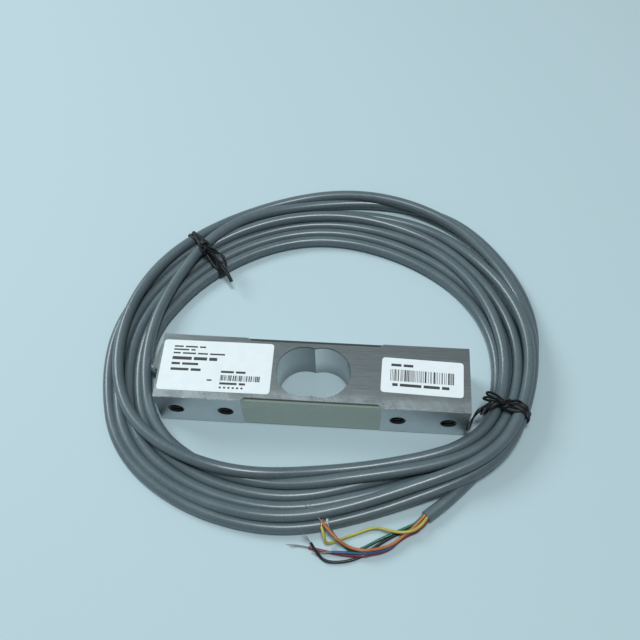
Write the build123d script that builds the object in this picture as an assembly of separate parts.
from build123d import *
from math import cos, exp, pi, radians, sin, tan
import os

# Single point load cell: a machined aluminium bar with a binocular bending zone, bonded foil gauges
# under clear potting on its two thin faces, and three metres of cable wound round the bar in a loose
# coil with two ties. Millimetres. The bar lies on its side, as it is stored: +X is along the bar,
# +Y across it and +Z along the binocular hole. The origin is the middle of the bar's lower face.

# bar
BAR_LENGTH = 130.0
BAR_WIDTH = 30.0
BAR_HEIGHT = 22.0
EDGE_BREAK = 0.25

# binocular hole: two overlapping bores, with a bending zone beside each of them
EYE_RADIUS = 11.7
EYE_SPACING = 7.8

# shallow waist on both long faces, where the gauges are bonded
WAIST_DEPTH = 1.6
WAIST_HALF = 27.2
WAIST_RAMP = 2.0
WAIST_FLOOR = BAR_WIDTH / 2 - WAIST_DEPTH

# four M6 fixing holes tapped right through the width
TAP_RADIUS = 2.5
TAP_MOUTH_RADIUS = 3.5
TAP_MOUTH_DEPTH = 0.9
TAP_OUTER_X = 57.0
TAP_INNER_X = 36.0

# cable entry
CABLE_DIAMETER = 5.0
BORE_RADIUS = 2.6
BORE_Y = 5.0
BORE_Z = 5.3
SEAL_RADIUS = 3.6
SEAL_LENGTH = 3.0
CORE_END_X = -60.0

# trim pocket and the passage that joins it to the cable bore and to the rear face
TRIM_X = -21.5
TRIM_LENGTH = 9.6
TRIM_HEIGHT = 12.6
TRIM_DEPTH = 2.2
BOARD_FLOOR = -WAIST_FLOOR + TRIM_DEPTH
BOARD_THICKNESS = 0.8
PASSAGE_RADIUS = 1.8

# boot on the end face: its slanted back turns the cable towards the coil
BOOT_OUT = 3.2
BOOT_LOW_Y = -0.9
BOOT_HIGH_Y = 12.6
BOOT_TOP = 19.2

# potting
POTTING_LIP = 0.2
POTTING_LOW = 0.5
POTTING_HIGH = 21.3

# gauges and wiring
GAUGE_LENGTH = 6.2
GAUGE_HEIGHT = 5.0
GAUGE_THICKNESS = 0.1
GAUGE_X = EYE_SPACING / 2
TAB_X = -11.0
TAB_SIZE = 1.4
TAB_THICKNESS = 0.2
WIRE_RADIUS = 0.16

# labels
LABEL_THICKNESS = 0.12
LABEL_CORNER = 1.4

# coil of cable: its outline is a wavy ring round a centre behind the bar
COIL_X = 2.0
COIL_Y = 26.0
COIL_STATIONS = 48
LAYER = 5.0
TIE_THICKNESS = 1.3
TIE_WIDTH = 4.2
LEFT_TIE_CENTRE = (-56.0, 72.4)
LEFT_TIE_TURN = 121.0
RIGHT_TIE_CENTRE = (82.6, -2.0)
RIGHT_TIE_TURN = -22.0

# conductors
LEAD_DIAMETER = 1.2
TIP_DIAMETER = 0.6


def block(x0, x1, y0, y1, z0, z1):
    """A box between two corners."""
    return Pos((x0 + x1) / 2, (y0 + y1) / 2, (z0 + z1) / 2) * Box(x1 - x0, y1 - y0, z1 - z0)


def rod(radius, start, end):
    """A round bar from one point to another."""
    axis = Vector(*end) - Vector(*start)
    plane = Plane(origin=start, z_dir=axis)
    return extrude(plane * Circle(radius), axis.length)


def tapped_hole(x):
    """A tapping-size hole right through the width, with a countersunk mouth on both faces."""
    half = BAR_WIDTH / 2
    hole = rod(TAP_RADIUS, (x, -half, BAR_HEIGHT / 2), (x, half, BAR_HEIGHT / 2))
    for side in (-1, 1):
        mouth = Plane(origin=(x, side * half, BAR_HEIGHT / 2), z_dir=(0, -side, 0))
        hole += mouth * Pos(0, 0, TAP_MOUTH_DEPTH / 2) * Cone(
            TAP_MOUTH_RADIUS, TAP_RADIUS, TAP_MOUTH_DEPTH
        )
    return hole


def waist_cut(side):
    """The shallow recess with ramped ends that thins the bar beside the binocular hole."""
    face, floor = side * BAR_WIDTH / 2, side * WAIST_FLOOR
    over = side * (BAR_WIDTH / 2 + 1)
    ramp = WAIST_HALF + WAIST_RAMP
    outline = Polyline(
        (-ramp, over), (-ramp, face), (-WAIST_HALF, floor), (WAIST_HALF, floor),
        (ramp, face), (ramp, over), close=True,
    )
    return extrude(make_face(outline), BAR_HEIGHT)


def trim_pocket():
    """The pocket for the trim board, sunk from the floor of the front waist."""
    return block(
        TRIM_X - TRIM_LENGTH / 2, TRIM_X + TRIM_LENGTH / 2,
        -WAIST_FLOOR - 0.5, -WAIST_FLOOR + TRIM_DEPTH,
        BORE_Z - 1.6, BORE_Z - 1.6 + TRIM_HEIGHT,
    )


def beam():
    """The spring element, machined from one bar."""
    bar = Pos(0, 0, BAR_HEIGHT / 2) * Box(BAR_LENGTH, BAR_WIDTH, BAR_HEIGHT)
    bar = chamfer(bar.edges().filter_by(Axis.X), EDGE_BREAK)
    for side in (-1, 1):
        bar -= rod_eye(side * EYE_SPACING / 2)
        bar -= waist_cut(side)
        for x in (TAP_INNER_X, TAP_OUTER_X):
            bar -= tapped_hole(side * x)
    bar -= trim_pocket()
    bar -= rod(PASSAGE_RADIUS, (TRIM_X, -WAIST_FLOOR - 1, BORE_Z), (TRIM_X, WAIST_FLOOR + 1, BORE_Z))
    bar -= rod(BORE_RADIUS, (-BAR_LENGTH / 2, BORE_Y, BORE_Z), (TRIM_X, BORE_Y, BORE_Z))
    seal_end = -BAR_LENGTH / 2 + SEAL_LENGTH
    bar -= rod(SEAL_RADIUS, (-BAR_LENGTH / 2 - 1, BORE_Y, BORE_Z), (seal_end, BORE_Y, BORE_Z))
    return bar


def rod_eye(x):
    """One bore of the binocular hole, right through the height."""
    return rod(EYE_RADIUS, (x, 0, -1), (x, 0, BAR_HEIGHT + 1))


def gauge(x, side):
    """A foil strain gauge on its carrier, bonded over the thinnest metal."""
    inner, outer = side * WAIST_FLOOR, side * (WAIST_FLOOR + GAUGE_THICKNESS)
    middle = BAR_HEIGHT / 2
    return block(
        x - GAUGE_LENGTH / 2, x + GAUGE_LENGTH / 2, min(inner, outer), max(inner, outer),
        middle - GAUGE_HEIGHT / 2, middle + GAUGE_HEIGHT / 2,
    )


def solder_tabs(side):
    """Two bondable solder terminals beside the gauges."""
    inner, outer = side * WAIST_FLOOR, side * (WAIST_FLOOR + TAB_THICKNESS)
    tabs = []
    for z in (BAR_HEIGHT / 2 - 1.6, BAR_HEIGHT / 2 + 1.6):
        tabs.append(block(
            TAB_X - TAB_SIZE / 2, TAB_X + TAB_SIZE / 2, min(inner, outer), max(inner, outer),
            z - TAB_SIZE / 2, z + TAB_SIZE / 2,
        ))
    return Compound(children=tabs)


def bridge_wires(side):
    """Fine enamelled wires from the gauge pair to the solder terminals."""
    y = side * (WAIST_FLOOR + WIRE_RADIUS + 0.02)
    left_gauge = -GAUGE_X - GAUGE_LENGTH / 2
    wires = []
    for z in (BAR_HEIGHT / 2 - 1.6, BAR_HEIGHT / 2 + 1.6):
        wires.append(rod(WIRE_RADIUS, (TAB_X + TAB_SIZE / 2, y, z), (left_gauge, y, z)))
    return Compound(children=wires)


def trim_board():
    """The small compensation board on the floor of the trim pocket, notched over the passage."""
    low = BORE_Z - 1.6
    board = block(
        TRIM_X - TRIM_LENGTH / 2 + 0.3, TRIM_X + TRIM_LENGTH / 2 - 0.3,
        BOARD_FLOOR - BOARD_THICKNESS, BOARD_FLOOR, low + 0.3, low + TRIM_HEIGHT - 0.3,
    )
    return board - rod(PASSAGE_RADIUS, (TRIM_X, BOARD_FLOOR + 1, BORE_Z), (TRIM_X, BOARD_FLOOR - 2, BORE_Z))


def trim_resistor(x, z):
    """A chip resistor soldered to the trim board."""
    top = BOARD_FLOOR - BOARD_THICKNESS
    return block(x - 1.0, x + 1.0, top - 0.6, top, z - 0.6, z + 0.6)


def harness():
    """The four cores inside the bar: along the cable bore, then through the passage to both faces."""
    along = rod(1.3, (CORE_END_X, BORE_Y, BORE_Z), (TRIM_X, BORE_Y, BORE_Z))
    across = rod(1.3, (TRIM_X, BOARD_FLOOR - 0.5, BORE_Z), (TRIM_X, WAIST_FLOOR, BORE_Z))
    return along + across


def potting(side, buried):
    """The clear filling of one waist, level with the bar's face and cast round what is buried in it."""
    floor, top = side * WAIST_FLOOR, side * (BAR_WIDTH / 2 - POTTING_LIP)
    flare = WAIST_HALF + WAIST_RAMP * (1 - POTTING_LIP / WAIST_DEPTH)
    outline = Polyline(
        (-WAIST_HALF, floor), (-flare, top), (flare, top), (WAIST_HALF, floor), close=True
    )
    slab = extrude(make_face(outline), POTTING_HIGH - POTTING_LOW)
    slab = Pos(0, 0, POTTING_LOW) * slab
    if side < 0:
        slab += trim_pocket() & block(-40, 0, -WAIST_FLOOR, 0, 0, BAR_HEIGHT)
    for piece in buried:
        slab -= piece
    return slab


def label(x, y, length, width, turn):
    """A self-adhesive label with rounded corners on the upper face."""
    sheet = RectangleRounded(length, width, LABEL_CORNER)
    return Pos(x, y, BAR_HEIGHT) * Rot(0, 0, turn) * extrude(sheet, LABEL_THICKNESS)


def cable_boot(cable):
    """A small moulded wedge on the end face that the cable leaves through."""
    end = -BAR_LENGTH / 2
    outline = Polyline(
        (end, BOOT_HIGH_Y), (end - 0.8, BOOT_HIGH_Y), (end - BOOT_OUT, BOOT_LOW_Y + 2.0),
        (end - BOOT_OUT + 1.4, BOOT_LOW_Y), (end, BOOT_LOW_Y), close=True,
    )
    wedge = Pos(0, 0, 1.0) * extrude(make_face(outline), BOOT_TOP - 1.0)
    return wedge - cable


def bulge(angle, place, rise, spread):
    """A smooth local rise of the coil's inner edge round one angle."""
    away = (angle - place + 180.0) % 360.0 - 180.0
    return rise * exp(-((away / spread) ** 2))


def inner_edge(angle):
    """Distance from the coil's centre to its inner edge: waves over one, half and a third of a turn,
    with two bulges that keep the turns off the bar's near corners."""
    a = radians(angle)
    waves = 66.0 - 1.0 * cos(a) - 5.6 * sin(a) + 8.6 * cos(2 * a) + 2.5 * sin(2 * a)
    waves += 1.5 * cos(3 * a) - 3.3 * sin(3 * a)
    return waves + bulge(angle, -33.0, 4.0, 16.0) + bulge(angle, -147.0, 2.2, 14.0)


def outer_edge(angle):
    """Distance from the coil's centre to its outer edge: an ellipse-like ring set slantwise."""
    a = radians(angle)
    return 94.2 + 0.9 * cos(a) + 4.0 * cos(2 * a) + 5.8 * sin(2 * a)


def on_coil(angle, distance):
    """A point of the floor plan, from its angle round the coil's centre and its distance from it."""
    return (COIL_X + distance * cos(radians(angle)), COIL_Y + distance * sin(radians(angle)))


def coil_outline(edge):
    """One edge of the coil as a closed outline of short straight sides."""
    angles = [360.0 * i / COIL_STATIONS for i in range(COIL_STATIONS)]
    return make_face(Polyline(*[on_coil(a, edge(a)) for a in angles], close=True))


def coil_layer():
    """The lowest layer of turns, which is the full ring."""
    ring = extrude(coil_outline(outer_edge) - coil_outline(inner_edge), LAYER)
    rims = ring.edges().group_by(Axis.Z)
    return chamfer(rims[0] + rims[-1], 1.2)


def coil_heap(first, last, height):
    """Turns piled on the ring where a tie draws them together: a crescent that narrows to its ends."""
    outer, inner = [], []
    steps = 12
    for i in range(steps + 1):
        angle = first + (last - first) * i / steps
        swell = sin(pi * i / steps) ** 0.7
        middle = (outer_edge(angle) + inner_edge(angle)) / 2
        half = ((outer_edge(angle) - inner_edge(angle)) / 2 - 1.6) * swell
        outer.append(on_coil(angle, middle + half))
        inner.append(on_coil(angle, middle - half))
    outline = make_face(Polyline(*outer, *inner[-2:0:-1], close=True))
    return Pos(0, 0, LAYER - 0.2) * extrude(outline, height)


def beyond_tail():
    """The room outside the coil where the free end lies: it starts at the face that the end leaves from."""
    gap = CABLE_DIAMETER / 2 + 0.7
    edge = []
    for start, stop in zip(TAIL_ROUTE, TAIL_ROUTE[1:]):
        run = (Vector(*stop) - Vector(*start)).normalized()
        edge.append((start[0] + gap * run.Y, start[1] - gap * run.X))
    last = (TAIL_ROUTE[-1][0] + gap * run.Y, TAIL_ROUTE[-1][1] - gap * run.X)
    first = (Vector(*TAIL_ROUTE[1]) - Vector(*TAIL_ROUTE[0])).normalized()
    far = (TAIL_ROUTE[0][0] - 25 * first.Y, TAIL_ROUTE[0][1] + 25 * first.X)
    outline = Polyline(*edge, last, (last[0], last[1] - 60), (far[0], last[1] - 60), far, close=True)
    return extrude(make_face(outline), 30)


def tie_band(centre, turn, span, height, knot_along, tail_end):
    """A tie drawn round the bundle: a band under, beside and over the turns, with its knot and tail.
    turn is the heading of the band across the bundle, in degrees."""
    across = (cos(radians(turn)), sin(radians(turn)), 0)
    along = (-sin(radians(turn)), cos(radians(turn)), 0)
    rise = height + 2 * TIE_THICKNESS
    plane = Plane(origin=(*centre, rise / 2), x_dir=across, z_dir=along)
    outline = RectangleRounded(span + 2 * TIE_THICKNESS, rise, 3.0)
    outline -= RectangleRounded(span, height, 1.8)
    band = extrude(plane * outline, TIE_WIDTH / 2, both=True)
    kx, ky = centre[0] + knot_along * along[0], centre[1] + knot_along * along[1]
    knot = Pos(kx, ky, rise + 0.4) * Rot(0, 0, turn) * chamfer(Box(5.2, 4.4, 2.8).edges(), 0.7)
    return band + knot + rod(0.8, (kx, ky, rise + 0.6), tail_end)


def corner_radii(points):
    """The arc for each corner of a route: 0.45 of the shorter run beside it, over the half turn's tangent."""
    radii = []
    for before, here, after in zip(points, points[1:], points[2:]):
        first, second = Vector(*here) - Vector(*before), Vector(*after) - Vector(*here)
        half = radians(first.get_angle(second)) / 2
        radii.append(0.45 * min(first.length, second.length) / tan(half))
    return radii


def tube(points, diameter):
    """A round cord along straight runs joined by tangent arcs."""
    radii = corner_radii(points)
    path = FilletPolyline(*points, radius=radii)
    start = Plane(origin=path @ 0, z_dir=path % 0)
    return sweep(start * Circle(diameter / 2), path=path), path, radii


EXIT_ROUTE = [
    (CORE_END_X, BORE_Y, BORE_Z),
    (-68.6, BORE_Y, BORE_Z),
    (-73.2, 7.4, 4.7),
    (-76.0, 12.0, 3.9),
    (-76.3, 18.4, 3.0),
    (-75.0, 26.4, 2.6),
    (-72.0, 35.0, 2.5),
]
TAIL_ROUTE = [
    (82.5, -13.3, 2.5),
    (77.1, -22.8, 2.5),
    (70.2, -31.2, 2.5),
    (62.7, -39.2, 2.5),
    (55.3, -46.6, 2.5),
    (48.4, -52.2, 2.6),
]

# each conductor from the cut end of the jacket to the end of its insulation
LEAD_ROUTES = {
    "yellow": [
        (48.8, -52.7, 3.8), (44.2, -56.9, 4.3), (36.0, -58.2, 3.2), (27.6, -59.8, 0.7),
        (18.4, -62.4, 0.7), (11.2, -65.2, 2.8), (8.2, -62.8, 6.2), (7.8, -59.0, 5.8),
    ],
    "orange": [
        (48.0, -51.7, 3.7), (42.2, -58.2, 2.2), (33.6, -64.6, 1.8), (24.6, -67.2, 2.2),
        (16.6, -64.2, 4.8), (11.4, -59.8, 6.2), (6.8, -55.2, 5.7),
    ],
    "green": [
        (47.6, -51.2, 2.6), (42.0, -55.4, 1.6), (34.0, -60.0, 0.7), (25.6, -63.8, 0.8),
        (18.6, -63.6, 3.6), (14.8, -60.6, 6.0), (11.6, -57.6, 5.8),
    ],
    "black": [
        (48.0, -51.7, 1.5), (42.2, -57.2, 0.7), (34.0, -62.0, 0.7), (26.4, -68.0, 0.7),
        (17.0, -71.8, 0.7), (9.6, -72.0, 1.6), (5.4, -68.6, 3.2), (3.4, -65.4, 4.6),
    ],
    "blue": [
        (48.8, -52.7, 1.5), (43.0, -58.6, 0.7), (36.2, -64.8, 0.7), (28.6, -68.0, 2.0),
        (21.4, -68.6, 2.0), (15.4, -68.0, 0.7), (10.4, -67.6, 0.7),
    ],
    "red": [
        (49.2, -53.2, 2.6), (43.6, -59.4, 2.1), (37.0, -66.4, 0.8), (28.4, -69.8, 2.0),
        (20.0, -70.2, 2.1), (12.6, -69.8, 0.7), (5.6, -68.6, 0.7), (-0.6, -66.9, 0.7),
    ],
}

# where the stripped strands of each conductor end
TIP_ENDS = {
    "yellow": (5.8, -57.4, 5.6),
    "orange": (1.2, -49.4, 5.5),
    "green": (9.4, -54.4, 5.5),
    "black": (-0.4, -61.8, 6.6),
    "blue": (5.6, -67.0, 0.4),
    "red": (-6.0, -66.0, 0.4),
}

LEFT_TIE_TAIL = (-43.8, 56.0, 9.0)
RIGHT_TIE_TAIL = (68.5, -11.5, 11.0)


def main():
    """Every piece by its node name."""
    pieces = {}
    pieces["beam"] = beam()

    for side, face in ((-1, "front"), (1, "rear")):
        buried = []
        for x, end in ((-GAUGE_X, "left"), (GAUGE_X, "right")):
            pieces[f"{face}_{end}_gauge"] = gauge(x, side)
            buried.append(pieces[f"{face}_{end}_gauge"])
        pieces[f"{face}_solder_tabs"] = solder_tabs(side)
        pieces[f"{face}_bridge_wires"] = bridge_wires(side)
        buried += pieces[f"{face}_solder_tabs"].solids() + pieces[f"{face}_bridge_wires"].solids()
        if side < 0:
            pieces["trim_board"] = trim_board()
            pieces["zero_resistor"] = trim_resistor(TRIM_X - 2.4, 12.4)
            pieces["span_resistor"] = trim_resistor(TRIM_X + 2.4, 12.4)
            pieces["core_harness"] = harness()
            buried += [pieces[n] for n in ("trim_board", "zero_resistor", "span_resistor", "core_harness")]
        pieces[f"{face}_potting"] = potting(side, buried)

    exit_tube, exit_path, exit_radii = tube(EXIT_ROUTE, CABLE_DIAMETER)
    tail_tube, tail_path, tail_radii = tube(TAIL_ROUTE, CABLE_DIAMETER)
    end = -BAR_LENGTH / 2
    seal = rod(SEAL_RADIUS, (end, BORE_Y, BORE_Z), (end + SEAL_LENGTH, BORE_Y, BORE_Z))
    pieces["bore_seal"] = seal - exit_tube
    pieces["cable_boot"] = cable_boot(exit_tube)
    pieces["cable_exit"] = exit_tube
    pieces["cable_tail"] = tail_tube

    pieces["left_tie"] = tie_band(LEFT_TIE_CENTRE, LEFT_TIE_TURN, 29.4, 9.6, 3.4, LEFT_TIE_TAIL)
    pieces["right_tie"] = tie_band(RIGHT_TIE_CENTRE, RIGHT_TIE_TURN, 20.2, 10.2, 0.5, RIGHT_TIE_TAIL)

    routes = [("cable_exit", exit_tube, exit_path, exit_radii, CABLE_DIAMETER)]
    routes.append(("cable_tail", tail_tube, tail_path, tail_radii, CABLE_DIAMETER))
    for colour, points in LEAD_ROUTES.items():
        lead, path, radii = tube(points, LEAD_DIAMETER)
        lead -= tail_tube
        pieces[f"{colour}_lead"] = lead
        pieces[f"{colour}_tip"] = rod(TIP_DIAMETER / 2, points[-1], TIP_ENDS[colour]) - lead
        routes.append((f"{colour}_lead", lead, path, radii, LEAD_DIAMETER))

    coil = coil_layer() + coil_heap(225.0, 105.0, 4.8) + coil_heap(30.0, -75.0, 5.2)
    for cut in (beyond_tail(), pieces["left_tie"], pieces["right_tie"], exit_tube):
        coil -= cut
    pieces["cable_coil"] = coil

    pieces["left_label"] = label(-40.7, 0.2, 46.9, 23.7, 0.3)
    pieces["right_label"] = label(45.2, 0.05, 33.8, 16.2, -1.7)

    for name, solid, path, radii, diameter in routes:
        share = solid.volume / (pi * diameter**2 / 4 * path.length)
        print(f"{name}: length {path.length:.1f}, volume share {share:.3f}, radii", [round(r, 1) for r in radii])
    return pieces


os.makedirs("parts", exist_ok=True)
for name, piece in main().items():
    piece.label = name
    export_step(piece, f"parts/{name}.step")
    print(name, "solids", len(piece.solids()), "volume", round(piece.volume, 1))
